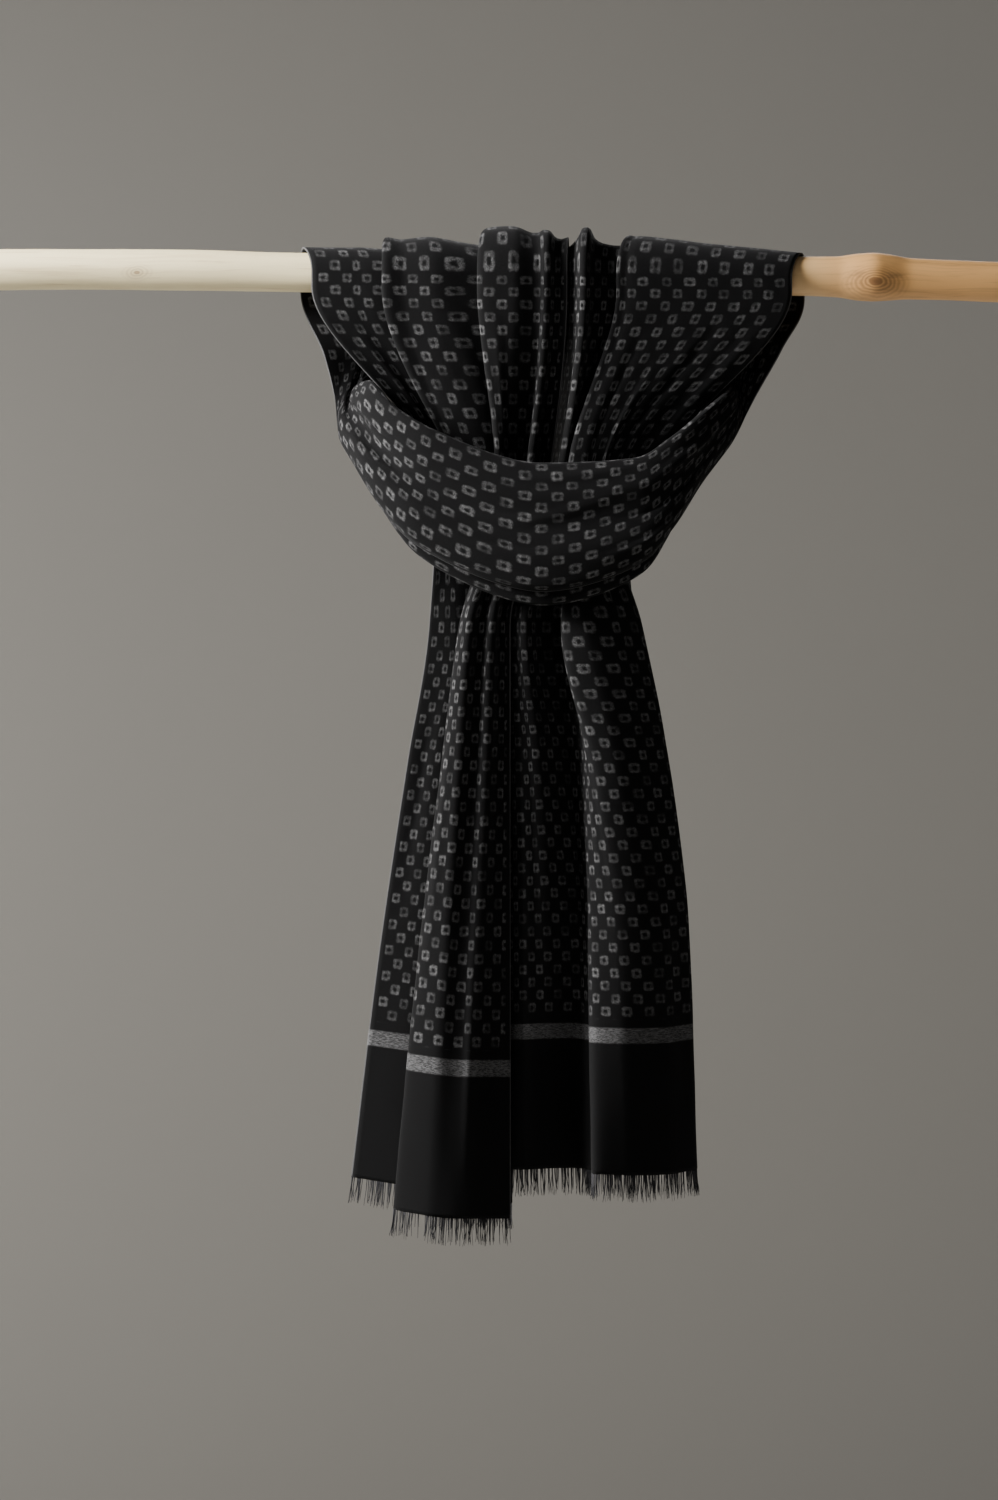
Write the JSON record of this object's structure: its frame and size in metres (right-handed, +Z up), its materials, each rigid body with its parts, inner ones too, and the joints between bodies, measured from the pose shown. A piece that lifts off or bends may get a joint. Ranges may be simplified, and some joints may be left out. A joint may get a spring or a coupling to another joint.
{
  "type": "woven scarf on a wooden rod",
  "caption": "Long dark woven scarf with small grey squares, a grey stripe and a short fringe at each end, hitched on a peeled wooden rod.",
  "frame": {"origin": "on the axis of the rod, at the middle of its length, where it is held", "axes": "+X along the rod to the right as seen from the front, +Z up, the front of the scarf faces -Y"},
  "size_m": [0.75, 0.1019, 0.7089],
  "materials": {
    "scarf_cloth": "brushed nap, woven with small hollow grey squares",
    "fringe_yarn": "loose matt yarn",
    "rod_wood": "peeled and bare, satin"
  },
  "bodies": {
    "root": {"front_leg_left": "scarf_cloth", "front_leg_right": "scarf_cloth", "tail_left": "scarf_cloth", "tail_right": "scarf_cloth", "back_leg_left": "scarf_cloth", "back_leg_right": "scarf_cloth", "sling": "scarf_cloth", "fringe_left": "fringe_yarn", "fringe_right": "fringe_yarn", "rod": "rod_wood"}
  },
  "joints": []
}
